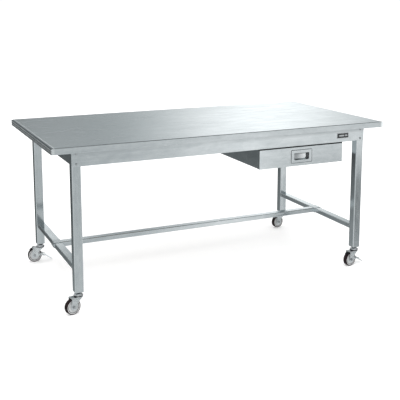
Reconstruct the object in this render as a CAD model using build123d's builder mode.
"""Stainless work table on four swivel casters, with one shallow drawer.

Millimetres. The origin is on the floor under the middle of the top: +X runs along the length,
-Y is the drawer side and +Z is up. Each block below makes one sub-part and writes one STEP file.
"""

import os

from build123d import *

os.makedirs("parts", exist_ok=True)

# ---------------------------------------------------------------- driving dimensions
TOP_LENGTH = 1800
TOP_DEPTH = 900
TOP_HEIGHT = 800
SHEET = 1.5

# worktop pan
FASCIA = 30
RETURN_LIP = 18
NOSE_RUN = 12  # bevel along the two short ends
NOSE_DROP = 4.5
BEAD_HEIGHT = 4.5  # pressed grooves along the two short ends
BEAD_DEPTH = 2.5
BEADS = (786.5, 776)  # the heights of the two grooves, from the upper one down
TOP_EDGE_RADIUS = 3
CORE_THICKNESS = 18
CORE_MARGIN = 15

# frame
FRAME_LENGTH = 1600
FRAME_DEPTH = 820
LEG = 43
LEG_BOTTOM = 104
LEG_RADIUS = 4
APRON_BOTTOM = 700
APRON_FLANGE = 24
APRON_RETURN = 12
SIDE_APRON_INSET = 8
RAIL_WIDTH = 40
RAIL_HEIGHT = 25
RAIL_BOTTOM = 203
RAIL_RADIUS = 3
RAIL_INSET = 3

# drawer
DRAWER_CENTRE = 415
DRAWER_WIDTH = 500
DRAWER_BOTTOM = 596
DRAWER_TOP = 694
PANEL_DEPTH = 20
CASE_BACK = 42
THIN = 1.2

# casters
WHEEL_RADIUS = 37.5
TYRE_WIDTH = 24
TRAIL = 33  # how far the axle lies behind the swivel axis
COLLAR_TOP = 99.5
CAP_TOP = 96.5
CROWN_TOP = 87
CROWN_BOTTOM = 78.5

# ---------------------------------------------------------------- derived places
CORE_BOTTOM = TOP_HEIGHT - SHEET - CORE_THICKNESS
LEG_TOP = CORE_BOTTOM - SHEET
LEG_X = (FRAME_LENGTH - LEG) / 2
LEG_Y = (FRAME_DEPTH - LEG) / 2
LEG_INNER_X = FRAME_LENGTH / 2 - LEG
LEG_INNER_Y = FRAME_DEPTH / 2 - LEG
FRAME_FRONT = -FRAME_DEPTH / 2
APRON_FACE = FRAME_FRONT - SHEET
RAIL_X = FRAME_LENGTH / 2 - RAIL_INSET - RAIL_WIDTH / 2
RAIL_Z = RAIL_BOTTOM + RAIL_HEIGHT / 2
RAIL_OUTER_X = RAIL_X + RAIL_WIDTH / 2
RAIL_INNER_X = RAIL_X - RAIL_WIDTH / 2
SPIGOT_LENGTH = 26
RAIL_BOLT_Y = LEG_INNER_Y - SPIGOT_LENGTH / 2
SIDES = {"left": -1, "right": 1}
CORNERS = {
    "front_left": (-LEG_X, -LEG_Y),
    "front_right": (LEG_X, -LEG_Y),
    "back_left": (-LEG_X, LEG_Y),
    "back_right": (LEG_X, LEG_Y),
}
BRAKED = ("front_right", "back_left")
TURNED = {"front_left": 16, "front_right": 12, "back_left": -8, "back_right": 10}  # degrees about each stem

# fasteners
BOLT_ROWS = (712, 759)
BOLT_RADIUS = 3
BOLT_HEAD_RADIUS = 5.5
BOLT_HEAD_HEIGHT = 3.4
RIVET_NUT_RADIUS = 4.5
SCREW_RADIUS = 2
TIE_RADIUS = 4
CLEARANCE = 0.06
SCREW_X = (-600, -200, 200, 600)
SCREW_INSET = 12


def save(piece, name):
    """Labels a finished piece and writes its STEP file, which carries the node's name."""
    piece.part.label = name
    export_step(piece.part, f"parts/{name}.step")


def upright(x, y):
    """A plane at (x, y) that faces the front: its x is +X and its y is +Z."""
    return Plane(origin=(x, y, 0), x_dir=(1, 0, 0), z_dir=(0, -1, 0))


def facing_x(x, side):
    """A plane at x that faces outwards on that side (-1 or 1): its x is +Y times side, its y is +Z."""
    return Plane(origin=(x, 0, 0), x_dir=(0, side, 0), z_dir=(side, 0, 0))


# ---------------------------------------------------------------- worktop
def top_outline():
    """The pan's outline seen from the front: bevelled ends, each with two pressed grooves."""
    end = TOP_LENGTH / 2
    corners = [(0, TOP_HEIGHT), (end - NOSE_RUN, TOP_HEIGHT), (end, TOP_HEIGHT - NOSE_DROP)]
    for z in BEADS:
        corners += [
            (end, z + BEAD_HEIGHT / 2),
            (end - BEAD_DEPTH, z + BEAD_HEIGHT / 4),
            (end - BEAD_DEPTH, z - BEAD_HEIGHT / 4),
            (end, z - BEAD_HEIGHT / 2),
        ]
    corners += [(end, TOP_HEIGHT - FASCIA), (0, TOP_HEIGHT - FASCIA)]
    with BuildSketch(Plane.XZ) as outline:
        with BuildLine():
            Polyline(*corners, close=True)
        make_face()
        mirror(about=Plane.YZ)
    return outline.sketch


with BuildPart() as top_skin:
    with BuildSketch(Plane.XZ):
        add(Plane.XZ.to_local_coords(top_outline()))
    extrude(amount=TOP_DEPTH / 2, both=True)
    long_edges = top_skin.edges().filter_by(Axis.X).group_by(Axis.Z)[-1]
    fillet(long_edges.sort_by(Axis.Y)[0], radius=TOP_EDGE_RADIUS)
    long_edges = top_skin.edges().filter_by(Axis.X).group_by(Axis.Z)[-1]
    fillet(long_edges.sort_by(Axis.Y)[-1], radius=TOP_EDGE_RADIUS)
    with BuildSketch(Plane.XZ):
        add(Plane.XZ.to_local_coords(top_outline()))
        offset(amount=-SHEET, kind=Kind.INTERSECTION, mode=Mode.REPLACE)
    extrude(amount=TOP_DEPTH / 2 - SHEET, both=True, mode=Mode.SUBTRACT)
    with BuildSketch(Plane.XY.offset(TOP_HEIGHT - FASCIA)):
        Rectangle(TOP_LENGTH - 2 * RETURN_LIP, TOP_DEPTH - 2 * RETURN_LIP)
    extrude(amount=SHEET, mode=Mode.SUBTRACT)
save(top_skin, "top_skin")

SCREW_Y = FRAME_DEPTH / 2 - SCREW_INSET
SCREW_SPOTS = [(x, side * SCREW_Y) for side in (-1, 1) for x in SCREW_X]
SCREW_DEPTH = 12
SCREW_HEAD = 2.4

with BuildPart() as top_core:
    with BuildSketch(Plane.XY.offset(CORE_BOTTOM)):
        Rectangle(TOP_LENGTH - 2 * CORE_MARGIN, TOP_DEPTH - 2 * CORE_MARGIN)
    extrude(amount=CORE_THICKNESS)
    with BuildSketch(Plane.XY.offset(CORE_BOTTOM)):
        with Locations(*SCREW_SPOTS):
            Circle(SCREW_RADIUS + CLEARANCE)
    extrude(amount=SCREW_DEPTH, mode=Mode.SUBTRACT)
save(top_core, "top_core")

STIFFENER_X = (-500, -20)
STIFFENER_WIDTH = 40
STIFFENER_HEIGHT = 25
STIFFENER_FLANGE = 14
STIFFENER_HALF_LENGTH = FRAME_DEPTH / 2 - APRON_FLANGE - 3

with BuildPart() as top_stiffeners:
    for stiffener_x in STIFFENER_X:
        with BuildSketch(upright(stiffener_x, 0)):
            with Locations((0, CORE_BOTTOM - THIN / 2)):
                Rectangle(STIFFENER_WIDTH + 2 * STIFFENER_FLANGE, THIN)
            with Locations((0, CORE_BOTTOM - STIFFENER_HEIGHT / 2)):
                Rectangle(STIFFENER_WIDTH, STIFFENER_HEIGHT)
            with Locations((0, CORE_BOTTOM - (STIFFENER_HEIGHT - THIN) / 2)):
                Rectangle(STIFFENER_WIDTH - 2 * THIN, STIFFENER_HEIGHT - THIN, mode=Mode.SUBTRACT)
        extrude(amount=STIFFENER_HALF_LENGTH, both=True)
save(top_stiffeners, "top_stiffeners")

with BuildPart() as top_screws:
    with BuildSketch(Plane.XY.offset(LEG_TOP)):
        with Locations(*SCREW_SPOTS):
            Circle(SCREW_RADIUS)
    extrude(amount=SHEET + SCREW_DEPTH - 1)
    with BuildSketch(Plane.XY.offset(LEG_TOP)):
        with Locations(*SCREW_SPOTS):
            Circle(2 * SCREW_RADIUS)
    extrude(amount=-SCREW_HEAD)
save(top_screws, "top_screws")


# ---------------------------------------------------------------- frame
def leg(x, y):
    """A square tube leg with holes for the two rivet nuts behind the front or back apron."""
    face = 1 if y > 0 else -1
    with BuildPart() as tube:
        with BuildSketch(Plane(origin=(x, y, LEG_BOTTOM))):
            RectangleRounded(LEG, LEG, LEG_RADIUS)
            RectangleRounded(LEG - 2 * SHEET, LEG - 2 * SHEET, LEG_RADIUS - SHEET, mode=Mode.SUBTRACT)
        extrude(amount=LEG_TOP - LEG_BOTTOM)
        with BuildSketch(upright(x, y + face * LEG / 2)):
            with Locations(*[(0, z) for z in BOLT_ROWS]):
                Circle(RIVET_NUT_RADIUS)
        extrude(amount=face * 2 * SHEET, mode=Mode.SUBTRACT)
    return tube


for corner, (corner_x, corner_y) in CORNERS.items():
    save(leg(corner_x, corner_y), f"leg_{corner}")

APRON_TOP_Z = CORE_BOTTOM
APRON_SPOTS = [(side * LEG_X, z) for side in (-1, 1) for z in BOLT_ROWS]


def long_apron(side):
    """A folded channel across the front (-1) or back (1) of the legs, bolted to them."""
    face = side * (FRAME_DEPTH / 2 + SHEET)
    with BuildPart() as apron:
        with BuildSketch(Plane.XZ.offset(-face)):
            with Locations((0, (APRON_BOTTOM + APRON_TOP_Z) / 2)):
                Rectangle(FRAME_LENGTH, APRON_TOP_Z - APRON_BOTTOM)
        extrude(amount=side * SHEET)
        with BuildSketch(Plane.XY.offset(APRON_TOP_Z)):
            with Locations((0, face - side * APRON_FLANGE / 2)):
                Rectangle(FRAME_LENGTH, APRON_FLANGE)
        extrude(amount=-SHEET)
        with BuildSketch(Plane.XY.offset(APRON_BOTTOM)):
            with Locations((0, face - side * APRON_RETURN / 2)):
                Rectangle(2 * LEG_INNER_X - 1, APRON_RETURN)
        extrude(amount=SHEET)
        outer_fold = apron.edges().filter_by(Axis.X).group_by(Axis.Z)[0].sort_by(Axis.Y)
        fillet(outer_fold[0 if side < 0 else -1], radius=SHEET)
        with BuildSketch(Plane.XZ.offset(-face)):
            with Locations(*APRON_SPOTS):
                Circle(BOLT_RADIUS + 2 * CLEARANCE)
        extrude(amount=side * SHEET, mode=Mode.SUBTRACT)
        with BuildSketch(Plane.XY.offset(APRON_TOP_Z)):
            with Locations(*[(x, side * SCREW_Y) for x in SCREW_X]):
                Circle(SCREW_RADIUS + CLEARANCE)
        extrude(amount=-SHEET, mode=Mode.SUBTRACT)
    return apron


save(long_apron(-1), "apron_front")
save(long_apron(1), "apron_back")


def side_apron(side):
    """A folded channel between the two legs of one end, set in from their outer faces."""
    face = side * (FRAME_LENGTH / 2 - SIDE_APRON_INSET)
    with BuildPart() as apron:
        with BuildSketch(Plane.YZ.offset(face)):
            with Locations((0, (APRON_BOTTOM + APRON_TOP_Z) / 2)):
                Rectangle(2 * LEG_INNER_Y, APRON_TOP_Z - APRON_BOTTOM)
        extrude(amount=-side * SHEET)
        for plane_z, width, thickness in (
            (APRON_TOP_Z, APRON_FLANGE, -SHEET),
            (APRON_BOTTOM, APRON_RETURN, SHEET),
        ):
            with BuildSketch(Plane.XY.offset(plane_z)):
                with Locations((face - side * width / 2, 0)):
                    Rectangle(width, 2 * LEG_INNER_Y)
            extrude(amount=thickness)
    return apron


def end_rail(side):
    """A flat tube between the two legs of one end, drilled through for the tie bolt."""
    with BuildPart() as rail:
        with BuildSketch(Plane.XZ):
            with Locations((side * RAIL_X, RAIL_Z)):
                RectangleRounded(RAIL_WIDTH, RAIL_HEIGHT, RAIL_RADIUS)
                RectangleRounded(
                    RAIL_WIDTH - 2 * SHEET,
                    RAIL_HEIGHT - 2 * SHEET,
                    RAIL_RADIUS - SHEET,
                    mode=Mode.SUBTRACT,
                )
        extrude(amount=LEG_INNER_Y, both=True)
        with BuildSketch(facing_x(side * RAIL_INNER_X, side)):
            with Locations((0, RAIL_Z)):
                Circle(TIE_RADIUS + CLEARANCE)
            with Locations((-RAIL_BOLT_Y, RAIL_Z), (RAIL_BOLT_Y, RAIL_Z)):
                Circle(BOLT_RADIUS + CLEARANCE)
        extrude(amount=RAIL_WIDTH, mode=Mode.SUBTRACT)
    return rail


for side_name, side_sign in SIDES.items():
    save(side_apron(side_sign), f"apron_{side_name}")
    save(end_rail(side_sign), f"end_rail_{side_name}")

with BuildPart() as centre_stretcher:
    with BuildSketch(Plane.YZ):
        with Locations((0, RAIL_Z)):
            RectangleRounded(RAIL_WIDTH, RAIL_HEIGHT, RAIL_RADIUS)
            RectangleRounded(
                RAIL_WIDTH - 2 * SHEET,
                RAIL_HEIGHT - 2 * SHEET,
                RAIL_RADIUS - SHEET,
                mode=Mode.SUBTRACT,
            )
    extrude(amount=RAIL_INNER_X, both=True)
save(centre_stretcher, "centre_stretcher")

BRACKET_LENGTH = 54

with BuildPart() as tee_brackets:
    for side_sign in SIDES.values():
        with BuildSketch(Plane.XZ):
            with Locations((side_sign * (RAIL_X + SHEET / 2), RAIL_Z)):
                Rectangle(RAIL_WIDTH + SHEET, RAIL_HEIGHT + 2 * SHEET)
            with Locations((side_sign * RAIL_X, RAIL_Z)):
                Rectangle(RAIL_WIDTH, RAIL_HEIGHT, mode=Mode.SUBTRACT)
        extrude(amount=BRACKET_LENGTH / 2, both=True)
        with BuildSketch(facing_x(side_sign * RAIL_OUTER_X, side_sign)):
            with Locations((0, RAIL_Z)):
                Circle(TIE_RADIUS + CLEARANCE)
        extrude(amount=SHEET, mode=Mode.SUBTRACT)
save(tee_brackets, "tee_brackets")

PLUG_DEPTH = 14
TIE_HEAD_ACROSS = 13
TIE_HEAD_HEIGHT = 5.3
TIE_WASHER_RADIUS = 8
TIE_LENGTH = RAIL_WIDTH + SHEET + PLUG_DEPTH + 2

with BuildPart() as tube_plugs:
    for side_sign in SIDES.values():
        with BuildSketch(facing_x(side_sign * RAIL_INNER_X, side_sign)):
            with Locations((0, RAIL_Z)):
                RectangleRounded(RAIL_WIDTH - 2 * SHEET, RAIL_HEIGHT - 2 * SHEET, RAIL_RADIUS - SHEET)
                Circle(TIE_RADIUS + CLEARANCE, mode=Mode.SUBTRACT)
        extrude(amount=-PLUG_DEPTH)
        for end in (-1, 1):
            with BuildSketch(Plane.XZ.offset(-end * LEG_INNER_Y)):
                with Locations((side_sign * RAIL_X, RAIL_Z)):
                    RectangleRounded(RAIL_WIDTH - 2 * SHEET, RAIL_HEIGHT - 2 * SHEET, RAIL_RADIUS - SHEET)
            extrude(amount=end * SPIGOT_LENGTH)
        with BuildSketch(facing_x(side_sign * RAIL_INNER_X, side_sign)):
            with Locations((-RAIL_BOLT_Y, RAIL_Z), (RAIL_BOLT_Y, RAIL_Z)):
                Circle(BOLT_RADIUS + CLEARANCE)
        extrude(amount=RAIL_WIDTH, mode=Mode.SUBTRACT)
save(tube_plugs, "tube_plugs")

with BuildPart() as rail_bolts:
    for side_sign in SIDES.values():
        spots = [(-RAIL_BOLT_Y, RAIL_Z), (RAIL_BOLT_Y, RAIL_Z)]
        with BuildSketch(facing_x(side_sign * RAIL_OUTER_X, side_sign)):
            with Locations(*spots):
                Circle(BOLT_RADIUS)
        extrude(amount=-RAIL_WIDTH)
        with BuildSketch(facing_x(side_sign * RAIL_OUTER_X, side_sign)):
            with Locations(*spots):
                Circle(BOLT_HEAD_RADIUS)
        extrude(amount=BOLT_HEAD_HEIGHT, taper=24)
        with BuildSketch(facing_x(side_sign * RAIL_INNER_X, side_sign)):
            with Locations(*spots):
                Circle(BOLT_HEAD_RADIUS)
        extrude(amount=-BOLT_HEAD_HEIGHT, taper=24)
save(rail_bolts, "rail_bolts")

with BuildPart() as tie_bolts:
    for side_sign in SIDES.values():
        seat = facing_x(side_sign * (RAIL_OUTER_X + SHEET), side_sign)
        with BuildSketch(seat):
            with Locations((0, RAIL_Z)):
                Circle(TIE_RADIUS)
        extrude(amount=-TIE_LENGTH)
        with BuildSketch(seat):
            with Locations((0, RAIL_Z)):
                Circle(TIE_WASHER_RADIUS)
        extrude(amount=THIN)
        with BuildSketch(seat):
            with Locations((0, RAIL_Z)):
                RegularPolygon(TIE_HEAD_ACROSS / 2, 6, major_radius=False)
        extrude(amount=THIN + TIE_HEAD_HEIGHT)
save(tie_bolts, "tie_bolts")

BOLT_LENGTH = 14
SOCKET_RADIUS = 2.2
SOCKET_DEPTH = 2

with BuildPart() as apron_bolts:
    for row_side in (-1, 1):
        for spot_x, spot_z in APRON_SPOTS:
            seat_y = row_side * (FRAME_DEPTH / 2 + SHEET)
            axis_plane = Plane(origin=(spot_x, seat_y, spot_z), x_dir=(1, 0, 0), z_dir=(0, row_side, 0))
            with BuildSketch(axis_plane):
                Circle(BOLT_RADIUS)
            extrude(amount=-BOLT_LENGTH)
            with BuildSketch(axis_plane):
                Circle(BOLT_HEAD_RADIUS)
            extrude(amount=BOLT_HEAD_HEIGHT, taper=24)
            with BuildSketch(axis_plane.offset(BOLT_HEAD_HEIGHT)):
                RegularPolygon(SOCKET_RADIUS, 6)
            extrude(amount=-SOCKET_DEPTH, mode=Mode.SUBTRACT)
save(apron_bolts, "apron_bolts")

with BuildPart() as rivet_nuts:
    for row_side in (-1, 1):
        for spot_x, spot_z in APRON_SPOTS:
            seat_y = row_side * FRAME_DEPTH / 2
            axis_plane = Plane(origin=(spot_x, seat_y, spot_z), x_dir=(1, 0, 0), z_dir=(0, -row_side, 0))
            with BuildSketch(axis_plane):
                Circle(RIVET_NUT_RADIUS)
                Circle(BOLT_RADIUS + CLEARANCE, mode=Mode.SUBTRACT)
            extrude(amount=BOLT_LENGTH + 1)
            with BuildSketch(axis_plane.offset(SHEET)):
                Circle(RIVET_NUT_RADIUS + 1.5)
                Circle(RIVET_NUT_RADIUS, mode=Mode.SUBTRACT)
            extrude(amount=2 * SHEET)
save(rivet_nuts, "rivet_nuts")

# ---------------------------------------------------------------- nameplate
NAMEPLATE_WIDTH = 71
NAMEPLATE_HEIGHT = 27
NAMEPLATE_X = 666
NAMEPLATE_Z = 734
NAMEPLATE_THICKNESS = 1.6
NAMEPLATE_RIM = 1.8
NAMEPLATE_RIVET_X = NAMEPLATE_WIDTH / 2 - 5
RIVET_RADIUS = 1.6

with BuildPart() as nameplate:
    with BuildSketch(upright(NAMEPLATE_X, APRON_FACE)):
        with Locations((0, NAMEPLATE_Z)):
            RectangleRounded(NAMEPLATE_WIDTH, NAMEPLATE_HEIGHT, 2)
    extrude(amount=NAMEPLATE_THICKNESS)
    with BuildSketch(upright(NAMEPLATE_X, APRON_FACE - NAMEPLATE_THICKNESS)):
        with Locations((0, NAMEPLATE_Z)):
            RectangleRounded(NAMEPLATE_WIDTH - 2 * NAMEPLATE_RIM, NAMEPLATE_HEIGHT - 2 * NAMEPLATE_RIM, 1)
    extrude(amount=-NAMEPLATE_THICKNESS / 3, mode=Mode.SUBTRACT)
save(nameplate, "nameplate")

with BuildPart() as nameplate_rivets:
    with BuildSketch(upright(NAMEPLATE_X, APRON_FACE - NAMEPLATE_THICKNESS * 2 / 3)):
        with Locations((-NAMEPLATE_RIVET_X, NAMEPLATE_Z), (NAMEPLATE_RIVET_X, NAMEPLATE_Z)):
            Circle(RIVET_RADIUS)
    extrude(amount=1, taper=30)
save(nameplate_rivets, "nameplate_rivets")

# ---------------------------------------------------------------- drawer housing, fixed under the top
PANEL_BACK = APRON_FACE + PANEL_DEPTH
CASE_FRONT = PANEL_BACK + 1.5
CASE_HALF = DRAWER_WIDTH / 2 - 1
CASE_BOTTOM = DRAWER_BOTTOM + 1
CASE_TOP = APRON_BOTTOM + 4
CASE_MIDDLE_Y = (CASE_FRONT + CASE_BACK) / 2
CASE_LENGTH = CASE_BACK - CASE_FRONT
LEDGE = 20
EAR = 18

with BuildPart() as drawer_case:
    with BuildSketch(Plane(origin=(DRAWER_CENTRE, CASE_MIDDLE_Y, CASE_BOTTOM))):
        Rectangle(2 * CASE_HALF, CASE_LENGTH)
        with Locations((0, -THIN)):
            Rectangle(2 * (CASE_HALF - THIN), CASE_LENGTH, mode=Mode.SUBTRACT)
    extrude(amount=CASE_TOP - CASE_BOTTOM)
    with BuildSketch(Plane(origin=(DRAWER_CENTRE, CASE_MIDDLE_Y, CASE_BOTTOM))):
        Rectangle(2 * CASE_HALF, CASE_LENGTH)
        with Locations((0, -LEDGE)):
            Rectangle(2 * (CASE_HALF - LEDGE), CASE_LENGTH, mode=Mode.SUBTRACT)
    extrude(amount=THIN)
    with BuildSketch(Plane(origin=(DRAWER_CENTRE, CASE_MIDDLE_Y, CASE_TOP))):
        Rectangle(2 * (CASE_HALF + EAR), CASE_LENGTH)
        Rectangle(2 * (CASE_HALF - THIN), CASE_LENGTH, mode=Mode.SUBTRACT)
    extrude(amount=-THIN)
save(drawer_case, "drawer_case")

EAR_X = CASE_HALF + EAR / 2
HANGER_X = CASE_HALF + EAR
HANGER_FLANGE = 20

with BuildPart() as case_hangers:
    for side_sign in SIDES.values():
        with BuildSketch(upright(DRAWER_CENTRE, CASE_MIDDLE_Y)):
            with Locations((side_sign * EAR_X, CASE_TOP + THIN / 2)):
                Rectangle(EAR, THIN)
            with Locations((side_sign * (HANGER_X - THIN / 2), (CASE_TOP + CORE_BOTTOM) / 2)):
                Rectangle(THIN, CORE_BOTTOM - CASE_TOP)
            with Locations((side_sign * (HANGER_X + HANGER_FLANGE / 2 - THIN), CORE_BOTTOM - THIN / 2)):
                Rectangle(HANGER_FLANGE, THIN)
        extrude(amount=CASE_LENGTH / 2 - EAR, both=True)
save(case_hangers, "case_hangers")

TRAY_HALF = DRAWER_WIDTH / 2 - 7
TRAY_FRONT = PANEL_BACK
TRAY_BACK = CASE_BACK - 8
TRAY_MIDDLE_Y = (TRAY_FRONT + TRAY_BACK) / 2
TRAY_LENGTH = TRAY_BACK - TRAY_FRONT
GLIDE_THICKNESS = 2.4
GLIDE_WIDTH = 12
GLIDE_GAP = 0.3
TRAY_BOTTOM = CASE_BOTTOM + THIN + GLIDE_THICKNESS + GLIDE_GAP
TRAY_TOP = 688
RUNNER_GAP = 1.5
RUNNER_HEIGHT = 8
RUNNER_REACH = 14

with BuildPart() as runner_glides:
    with BuildSketch(Plane(origin=(DRAWER_CENTRE, CASE_MIDDLE_Y, CASE_BOTTOM + THIN))):
        with Locations(*[(s * (CASE_HALF - THIN - GLIDE_WIDTH / 2 - 2), 0) for s in SIDES.values()]):
            RectangleRounded(GLIDE_WIDTH, CASE_LENGTH - 10, 2)
    extrude(amount=GLIDE_THICKNESS)
save(runner_glides, "runner_glides")

with BuildPart() as drawer_runners:
    for side_sign in SIDES.values():
        with BuildSketch(upright(DRAWER_CENTRE, CASE_MIDDLE_Y)):
            low = TRAY_TOP + RUNNER_GAP
            with Locations((side_sign * (CASE_HALF - THIN - RUNNER_REACH / 2), low + THIN / 2)):
                Rectangle(RUNNER_REACH, THIN)
            with Locations((side_sign * (CASE_HALF - 1.5 * THIN), low + RUNNER_HEIGHT / 2)):
                Rectangle(THIN, RUNNER_HEIGHT)
        extrude(amount=CASE_LENGTH / 2 - 5, both=True)
save(drawer_runners, "drawer_runners")

BUMPER_RADIUS = 5
BUMPER_LENGTH = 5

with BuildPart() as drawer_bumpers:
    with BuildSketch(upright(DRAWER_CENTRE, CASE_BACK - THIN)):
        with Locations((-TRAY_HALF / 2, TRAY_TOP - 30), (TRAY_HALF / 2, TRAY_TOP - 30)):
            Circle(BUMPER_RADIUS)
    extrude(amount=BUMPER_LENGTH, taper=12)
save(drawer_bumpers, "drawer_bumpers")

# ---------------------------------------------------------------- drawer, slides towards -Y
FRONT_SCREW_X = TRAY_HALF - 5
FRONT_SCREW_ROWS = (TRAY_BOTTOM + 7, TRAY_TOP - 7)
FRONT_SCREW_RADIUS = 1.5
FRONT_SCREW_SPOTS = [(s * FRONT_SCREW_X, z) for s in SIDES.values() for z in FRONT_SCREW_ROWS]
PANEL_LIP = 15
PULL_X = 412.5 - DRAWER_CENTRE
PULL_Z = 645
CUP_WIDTH = 91
CUP_HEIGHT = 36
CUP_DEPTH = 17
CUP_RADIUS = 9

with BuildPart() as drawer_tray:
    with BuildSketch(Plane(origin=(DRAWER_CENTRE, TRAY_MIDDLE_Y, TRAY_BOTTOM))):
        RectangleRounded(2 * TRAY_HALF, TRAY_LENGTH, 2)
    extrude(amount=TRAY_TOP - TRAY_BOTTOM)
    with BuildSketch(Plane(origin=(DRAWER_CENTRE, TRAY_MIDDLE_Y, TRAY_BOTTOM + THIN))):
        RectangleRounded(2 * (TRAY_HALF - THIN), TRAY_LENGTH - 2 * THIN, 1)
    extrude(amount=TRAY_TOP, mode=Mode.SUBTRACT)
    with BuildSketch(upright(DRAWER_CENTRE, TRAY_FRONT)):
        with Locations(*FRONT_SCREW_SPOTS):
            Circle(FRONT_SCREW_RADIUS + CLEARANCE)
    extrude(amount=-THIN, mode=Mode.SUBTRACT)
save(drawer_tray, "drawer_tray")

PANEL_Z = (DRAWER_BOTTOM + DRAWER_TOP) / 2
PANEL_HEIGHT = DRAWER_TOP - DRAWER_BOTTOM


def cup_outline(margin):
    """The finger recess: square above, with a rounded lower edge. margin widens it all round."""
    half = CUP_WIDTH / 2 + margin
    top = PULL_Z + CUP_HEIGHT / 2 + margin
    low = PULL_Z - CUP_HEIGHT / 2 - margin
    corner = CUP_RADIUS + margin
    with BuildSketch(upright(DRAWER_CENTRE, APRON_FACE), mode=Mode.PRIVATE) as outline:
        with BuildLine():
            Polyline((PULL_X - half, low + corner), (PULL_X - half, top), (PULL_X + half, top))
            Line((PULL_X + half, top), (PULL_X + half, low + corner))
            RadiusArc((PULL_X + half, low + corner), (PULL_X + half - corner, low), corner)
            Line((PULL_X + half - corner, low), (PULL_X - half + corner, low))
            RadiusArc((PULL_X - half + corner, low), (PULL_X - half, low + corner), corner)
        make_face()
    return outline.sketch_local


with BuildPart() as drawer_front:
    with BuildSketch(upright(DRAWER_CENTRE, APRON_FACE)):
        with Locations((0, PANEL_Z)):
            RectangleRounded(DRAWER_WIDTH, PANEL_HEIGHT, THIN)
    extrude(amount=-PANEL_DEPTH)
    with BuildSketch(upright(DRAWER_CENTRE, APRON_FACE + THIN)):
        with Locations((0, PANEL_Z)):
            Rectangle(DRAWER_WIDTH - 2 * THIN, PANEL_HEIGHT - 2 * THIN)
    extrude(amount=-(PANEL_DEPTH - 2 * THIN), mode=Mode.SUBTRACT)
    with BuildSketch(upright(DRAWER_CENTRE, PANEL_BACK)):
        with Locations((0, PANEL_Z)):
            Rectangle(DRAWER_WIDTH - 2 * PANEL_LIP, PANEL_HEIGHT - 2 * PANEL_LIP)
    extrude(amount=THIN, mode=Mode.SUBTRACT)
    with BuildSketch(upright(DRAWER_CENTRE, APRON_FACE)):
        add(cup_outline(THIN))
    extrude(amount=-THIN, mode=Mode.SUBTRACT)
    with BuildSketch(upright(DRAWER_CENTRE, PANEL_BACK)):
        with Locations(*FRONT_SCREW_SPOTS):
            Circle(FRONT_SCREW_RADIUS + CLEARANCE)
    extrude(amount=THIN, mode=Mode.SUBTRACT)
save(drawer_front, "drawer_front")

PLATE_WIDTH = 122
PLATE_HEIGHT = 65
PLATE_THICKNESS = 1.4

with BuildPart() as pull_plate:
    with BuildSketch(upright(DRAWER_CENTRE, APRON_FACE)):
        with Locations((PULL_X, PULL_Z + 1)):
            RectangleRounded(PLATE_WIDTH, PLATE_HEIGHT, 2.5)
        add(cup_outline(0), mode=Mode.SUBTRACT)
    extrude(amount=PLATE_THICKNESS)
save(pull_plate, "pull_plate")

with BuildPart() as pull_cup:
    with BuildSketch(upright(DRAWER_CENTRE, APRON_FACE)):
        add(cup_outline(THIN))
    extrude(amount=-CUP_DEPTH)
    with BuildSketch(upright(DRAWER_CENTRE, APRON_FACE)):
        add(cup_outline(0))
    extrude(amount=-(CUP_DEPTH - THIN), mode=Mode.SUBTRACT)
save(pull_cup, "pull_cup")

with BuildPart() as front_screws:
    with BuildSketch(upright(DRAWER_CENTRE, PANEL_BACK + THIN)):
        with Locations(*FRONT_SCREW_SPOTS):
            Circle(FRONT_SCREW_RADIUS)
    extrude(amount=3 * THIN)
    with BuildSketch(upright(DRAWER_CENTRE, PANEL_BACK + THIN)):
        with Locations(*FRONT_SCREW_SPOTS):
            Circle(2 * FRONT_SCREW_RADIUS)
    extrude(amount=-2, taper=20)
save(front_screws, "front_screws")

# ---------------------------------------------------------------- casters: fixed pieces
STEM_RADIUS = 6
KINGPIN_RADIUS = 5
KINGPIN_HEAD = 9
COLLAR_RADIUS = 13
LEG_PLUG_HEIGHT = 25
PLUG_FOOT = 29
CAP_RADIUS = 22.4
CAP_WALL = 1.6
CAP_SHOULDER = 90.5
SWIVEL_GAP = 0.6
CROWN_RADIUS = 20
CROWN_PLATE = 3.5
SEAL_GAP = 0.4

with BuildPart() as leg_plugs:
    for corner_x, corner_y in CORNERS.values():
        with BuildSketch(Plane(origin=(corner_x, corner_y, COLLAR_TOP))):
            RectangleRounded(PLUG_FOOT, PLUG_FOOT, 6)
        with BuildSketch(Plane(origin=(corner_x, corner_y, LEG_BOTTOM))):
            RectangleRounded(LEG - 1, LEG - 1, LEG_RADIUS)
        loft()
        with BuildSketch(Plane(origin=(corner_x, corner_y, LEG_BOTTOM))):
            RectangleRounded(LEG - 2 * SHEET, LEG - 2 * SHEET, LEG_RADIUS - SHEET)
        extrude(amount=LEG_PLUG_HEIGHT)
        with BuildSketch(Plane(origin=(corner_x, corner_y, COLLAR_TOP))):
            Circle(STEM_RADIUS + CLEARANCE)
        extrude(amount=LEG_BOTTOM - COLLAR_TOP + LEG_PLUG_HEIGHT, mode=Mode.SUBTRACT)
save(leg_plugs, "leg_plugs")

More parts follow.
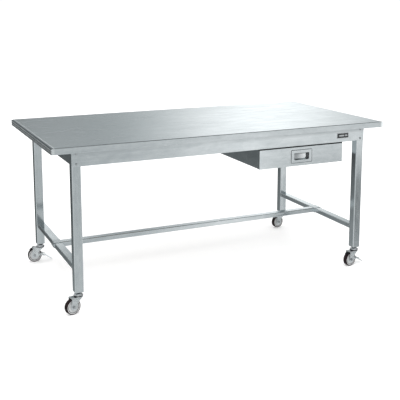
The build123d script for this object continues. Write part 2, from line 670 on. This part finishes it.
with BuildPart() as caster_stems:
    for corner_x, corner_y in CORNERS.values():
        with BuildSketch(Plane(origin=(corner_x, corner_y, CAP_TOP))):
            Circle(COLLAR_RADIUS)
        extrude(amount=COLLAR_TOP - CAP_TOP)
        with BuildSketch(Plane(origin=(corner_x, corner_y, COLLAR_TOP))):
            Circle(STEM_RADIUS)
        extrude(amount=LEG_BOTTOM - COLLAR_TOP + LEG_PLUG_HEIGHT)
        with BuildSketch(Plane(origin=(corner_x, corner_y, CAP_TOP))):
            Circle(KINGPIN_RADIUS)
        extrude(amount=-(CAP_TOP - CROWN_BOTTOM + SWIVEL_GAP))
        with BuildSketch(Plane(origin=(corner_x, corner_y, CROWN_BOTTOM - SWIVEL_GAP))):
            Circle(KINGPIN_HEAD)
        extrude(amount=-2.2, taper=35)
save(caster_stems, "caster_stems")

CAP_RIM = CROWN_TOP + SWIVEL_GAP

with BuildPart() as raceway_caps:
    for corner_x, corner_y in CORNERS.values():
        bore = KINGPIN_RADIUS + CLEARANCE
        with BuildSketch(upright(corner_x, corner_y)):
            with BuildLine():
                Polyline(
                    (bore, CAP_TOP),
                    (bore, CAP_TOP - CAP_WALL),
                    (COLLAR_RADIUS - 2, CAP_TOP - CAP_WALL),
                    (CAP_RADIUS - CAP_WALL, CAP_SHOULDER - CAP_WALL),
                    (CAP_RADIUS - CAP_WALL, CAP_RIM),
                    (CAP_RADIUS, CAP_RIM),
                    (CAP_RADIUS, CAP_SHOULDER - CAP_WALL / 2),
                    (CAP_RADIUS - 1, CAP_SHOULDER),
                    (COLLAR_RADIUS, CAP_TOP - CAP_WALL / 2),
                    (COLLAR_RADIUS - 1, CAP_TOP),
                    close=True,
                )
            make_face()
        revolve(axis=Axis((corner_x, corner_y, 0), (0, 0, 1)))
save(raceway_caps, "raceway_caps")

with BuildPart() as swivel_seals:
    for corner_x, corner_y in CORNERS.values():
        with BuildSketch(Plane(origin=(corner_x, corner_y, CAP_RIM))):
            Circle(CAP_RADIUS - 0.6)
            Circle(CROWN_RADIUS + SEAL_GAP, mode=Mode.SUBTRACT)
        extrude(amount=-(CAP_RIM - CROWN_BOTTOM - CROWN_PLATE - SWIVEL_GAP))
save(swivel_seals, "swivel_seals")

# ---------------------------------------------------------------- casters: turning pieces
# Each is built round a swivel axis at the origin, with the wheel behind it towards -X, and then placed.
CHEEK = 2.5
CHEEK_GAP = 2
CHEEK_INNER = TYRE_WIDTH / 2 + CHEEK_GAP
CHEEK_OUTER = CHEEK_INNER + CHEEK
AXLE = (-TRAIL, WHEEL_RADIUS)
AXLE_RADIUS = 4
AXLE_BOSS = 16
AXLE_HEAD_ACROSS = 13
AXLE_HEAD_HEIGHT = 5
EAR_SPOT = (-38.5, 78)
EAR_RADIUS = 6
EAR_HOLE = 2
RIB_HEIGHT = 0.9
PIVOT = (-4, 43.5)  # the brake pedal's pivot, beside the tyre
PIVOT_BOSS = 7
PIVOT_RADIUS = 2.5


def cheek_outline(braked):
    """One side plate of the fork, from the crown down to the axle. A braked one also carries the pivot."""
    top = CROWN_BOTTOM + 1
    with BuildSketch(mode=Mode.PRIVATE) as outline:
        with BuildLine():
            Line((-42, top), (-TRAIL - AXLE_BOSS, WHEEL_RADIUS + 2))
            ThreePointArc(
                (-TRAIL - AXLE_BOSS, WHEEL_RADIUS + 2),
                (-TRAIL, WHEEL_RADIUS - AXLE_BOSS),
                (-TRAIL + AXLE_BOSS, WHEEL_RADIUS + 2),
            )
            Spline((-TRAIL + AXLE_BOSS, WHEEL_RADIUS + 2), (-13, 54), (-4, 64), (14, top))
            Line((14, top), (-42, top))
        make_face()
        with Locations(EAR_SPOT):
            Circle(EAR_RADIUS)
        if braked:
            with BuildSketch(mode=Mode.PRIVATE) as lug:
                with Locations(AXLE, PIVOT):
                    Circle(PIVOT_BOSS)
                make_hull()
            add(lug.sketch_local)
    return outline.sketch_local


def rib_outline():
    """The stiffening rib pressed out of each cheek, above the axle's head."""
    with BuildSketch(mode=Mode.PRIVATE) as rib:
        with BuildLine():
            Polyline((-31, 76), (-40, 52), (-24, 50), (-12, 62), (0, 76), close=True)
        make_face()
        fillet(rib.vertices(), radius=2.5)
    return rib.sketch_local


def fork(braked):
    """The swivelling fork: a round crown, a plate under it and two cheeks beside the wheel."""
    with BuildPart() as body:
        with BuildSketch(Plane.XY.offset(CROWN_BOTTOM)):
            Circle(CROWN_RADIUS + 1)
            with Locations((-21, 0)):
                Rectangle(42, 2 * CHEEK_OUTER)
        extrude(amount=CROWN_PLATE)
        with BuildSketch(Plane.XY.offset(CROWN_BOTTOM + CROWN_PLATE)):
            Circle(CROWN_RADIUS)
        extrude(amount=CROWN_TOP - CROWN_BOTTOM - CROWN_PLATE)
        for face, facing in ((-CHEEK_INNER, 1), (CHEEK_INNER, -1)):
            with BuildSketch(upright(0, face)):
                add(cheek_outline(braked))
            extrude(amount=facing * CHEEK)
            with BuildSketch(upright(0, face - facing * CHEEK)):
                add(rib_outline())
            extrude(amount=facing * RIB_HEIGHT, taper=30)
        with BuildSketch(upright(0, 0)):
            with Locations(AXLE):
                Circle(AXLE_RADIUS + CLEARANCE)
            with Locations(EAR_SPOT):
                Circle(EAR_HOLE)
            if braked:
                with Locations(PIVOT):
                    Circle(PIVOT_RADIUS + CLEARANCE)
        extrude(amount=CHEEK_OUTER + CHEEK, both=True, mode=Mode.SUBTRACT)
        with BuildSketch(Plane.XY.offset(CROWN_BOTTOM)):
            Circle(KINGPIN_RADIUS + CLEARANCE)
        extrude(amount=CROWN_TOP - CROWN_BOTTOM, mode=Mode.SUBTRACT)
    return body


def axle_set():
    """The axle bolt, with its hexagon head on one side of the fork and its nut on the other."""
    with BuildPart() as bolt:
        with BuildSketch(upright(0, 0)):
            with Locations(AXLE):
                Circle(AXLE_RADIUS)
        extrude(amount=CHEEK_OUTER + AXLE_HEAD_HEIGHT + 1, both=True)
        for side in (-1, 1):
            with BuildSketch(upright(0, side * CHEEK_OUTER)):
                with Locations(AXLE):
                    RegularPolygon(AXLE_HEAD_ACROSS / 2, 6, major_radius=False)
            extrude(amount=-side * AXLE_HEAD_HEIGHT)
    return bolt


def turned_ring(points):
    """Revolves a half outline of (radius, distance along the axle) points, and its mirror image."""
    outline = points + [(radius, -along) for radius, along in reversed(points)]
    with BuildPart() as ring:
        with BuildSketch(Plane(origin=(-TRAIL, 0, WHEEL_RADIUS), x_dir=(0, 0, 1), z_dir=(1, 0, 0))):
            with BuildLine():
                Polyline(*outline, close=True)
            make_face()
        revolve(axis=Axis((-TRAIL, 0, WHEEL_RADIUS), (0, 1, 0)))
    return ring


HUB_HALF = CHEEK_INNER - 0.5
RIM_RADIUS = 33.5
RIM_HALF = TYRE_WIDTH / 2 - 1
CORE_POINTS = [
    (AXLE_RADIUS + CLEARANCE, HUB_HALF),
    (9.5, HUB_HALF),
    (11, 8.6),
    (22.5, 8),
    (24.5, 10.2),
    (26.6, 10.2),
    (27, 8.4),
    (28.8, 8.4),
    (29.3, RIM_HALF),
    (RIM_RADIUS, RIM_HALF),
]
TYRE_POINTS = [
    (RIM_RADIUS, RIM_HALF),
    (34.2, TYRE_WIDTH / 2),
    (35.8, 11.7),
    (36.9, 10.3),
    (WHEEL_RADIUS, 7.5),
]

ARM_GAP = 0.3
ARM = 2
ARM_INNER = CHEEK_OUTER + ARM_GAP
ARM_OUTER = ARM_INNER + ARM
TREAD_HALF = 13
TREAD_THICKNESS = 2.5
TREAD_PATH = [(8.5, 43.5), (23, 36), (43, 20), (60, 8.5)]
SHOE_HALF = 8


def brake_pedal():
    """The pedal: two arms outside the cheeks, a bridge, a tread plate and a shoe that faces the tyre."""
    with BuildPart() as pedal:
        for side in (-1, 1):
            with BuildSketch(upright(0, side * ARM_INNER)):
                with Locations(PIVOT):
                    Circle(PIVOT_BOSS - 0.5)
                with Locations((21, 36.5)):
                    Circle(3)
                make_hull()
                with Locations(PIVOT):
                    Circle(PIVOT_RADIUS + CLEARANCE, mode=Mode.SUBTRACT)
            extrude(amount=-side * ARM)
        with BuildSketch(upright(0, 0)):
            with BuildLine():
                Polyline(*TREAD_PATH[:2])
            trace(line_width=TREAD_THICKNESS)
        extrude(amount=ARM_OUTER, both=True)
        with BuildSketch(upright(0, 0)):
            with BuildLine():
                Polyline(*TREAD_PATH)
            trace(line_width=TREAD_THICKNESS)
        extrude(amount=TREAD_HALF, both=True)
        tip_edges = pedal.faces().sort_by(Axis.X)[-1].edges().filter_by(Axis.Y, reverse=True)
        fillet(tip_edges, radius=6)
        with BuildSketch(upright(0, 0)):
            with Locations((8.2, 43)):
                Rectangle(6, 5)
        extrude(amount=SHOE_HALF, both=True)
    return pedal


def brake_rivets():
    """The two stub rivets, one on each cheek, that the pedal's arms turn on."""
    with BuildPart() as rivets:
        for side in (-1, 1):
            with BuildSketch(upright(0, side * CHEEK_INNER)):
                with Locations(PIVOT):
                    Circle(PIVOT_RADIUS)
            extrude(amount=-side * (ARM_OUTER + ARM_GAP - CHEEK_INNER))
            with BuildSketch(upright(0, side * (ARM_OUTER + ARM_GAP))):
                with Locations(PIVOT):
                    Circle(PIVOT_RADIUS + 1.6)
            extrude(amount=-side * 1.5, taper=20)
    return rivets


def brake_spring():
    """The dark leaf under the crown that reaches over the back of the tyre."""
    with BuildPart() as leaf:
        with BuildSketch(upright(0, 0)):
            with BuildLine():
                Polyline((-28, 77.25), (-42, 77.25), (-51, 74.5), (-60, 68))
            trace(line_width=2.5)
        extrude(amount=TYRE_WIDTH / 2 - 2, both=True)
    return leaf


def placed(piece, at_corner):
    """The piece, moved from the origin to that corner's stem and turned as that caster is."""
    stem_x, stem_y = CORNERS[at_corner]
    with BuildPart() as moved:
        with Locations(Location((stem_x, stem_y, 0), (0, 0, TURNED[at_corner]))):
            add(piece.part)
    return moved


for corner in CORNERS:
    save(placed(fork(corner in BRAKED), corner), f"fork_{corner}")
    save(placed(axle_set(), corner), f"axle_{corner}")
    save(placed(turned_ring(CORE_POINTS), corner), f"wheel_core_{corner}")
    save(placed(turned_ring(TYRE_POINTS), corner), f"tyre_{corner}")
    if corner in BRAKED:
        save(placed(brake_pedal(), corner), f"brake_pedal_{corner}")
        save(placed(brake_rivets(), corner), f"brake_rivets_{corner}")
        save(placed(brake_spring(), corner), f"brake_spring_{corner}")
